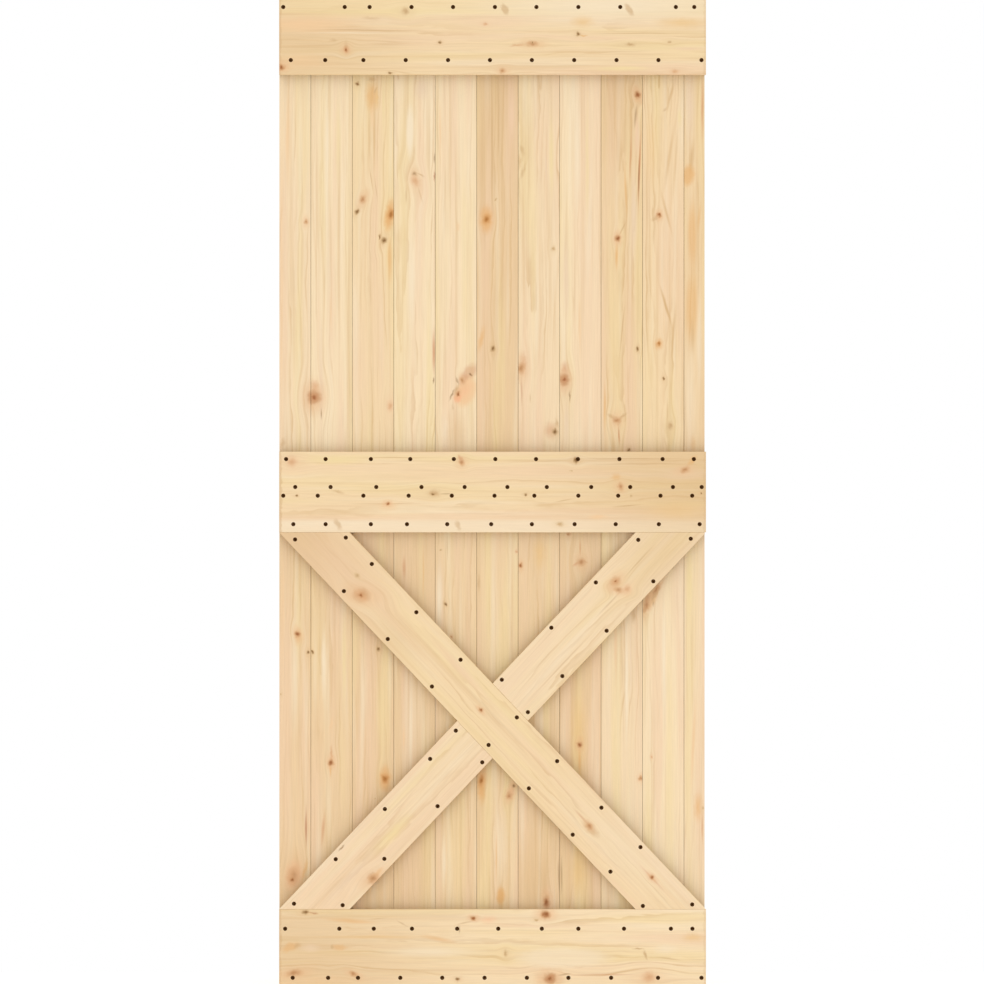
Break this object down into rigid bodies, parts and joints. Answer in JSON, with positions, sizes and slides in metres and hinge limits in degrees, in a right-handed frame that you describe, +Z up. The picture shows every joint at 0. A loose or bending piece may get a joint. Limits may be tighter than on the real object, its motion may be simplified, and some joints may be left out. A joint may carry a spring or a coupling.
{
  "type": "sliding barn door leaf",
  "caption": "Solid pine barn door leaf for hanging on a track: upright tongue and groove boards, three wide rails and an X of braces below, fixed with black countersunk screws.",
  "frame": {"origin": "middle of the leaf's bottom edge, halfway through its thickness", "axes": "+Z up, +X to the right as seen from the front, and -Y out of the front, where the rails and braces are"},
  "size_m": [0.9, 0.036, 2.1],
  "materials": {
    "board_pine": "planed, bare",
    "rail_pine": "planed, bare",
    "brace_pine": "planed, bare",
    "screw_black": "black oxide"
  },
  "bodies": {
    "root": {"upper_board_01": "board_pine", "upper_board_02": "board_pine", "upper_board_03": "board_pine", "upper_board_04": "board_pine", "upper_board_05": "board_pine", "upper_board_06": "board_pine", "upper_board_07": "board_pine", "upper_board_08": "board_pine", "upper_board_09": "board_pine", "upper_board_10": "board_pine", "upper_board_11": "board_pine", "lower_board_01": "board_pine", "lower_board_02": "board_pine", "lower_board_03": "board_pine", "lower_board_04": "board_pine", "lower_board_05": "board_pine", "lower_board_06": "board_pine", "lower_board_07": "board_pine", "lower_board_08": "board_pine", "lower_board_09": "board_pine", "lower_board_10": "board_pine", "lower_board_11": "board_pine", "top_rail": "rail_pine", "middle_rail": "rail_pine", "bottom_rail": "rail_pine", "long_brace": "brace_pine", "upper_half_brace": "brace_pine", "lower_half_brace": "brace_pine", "top_rail_screws": "screw_black", "middle_rail_screws": "screw_black", "bottom_rail_screws": "screw_black", "long_brace_screws": "screw_black", "upper_half_brace_screws": "screw_black", "lower_half_brace_screws": "screw_black"}
  },
  "joints": []
}
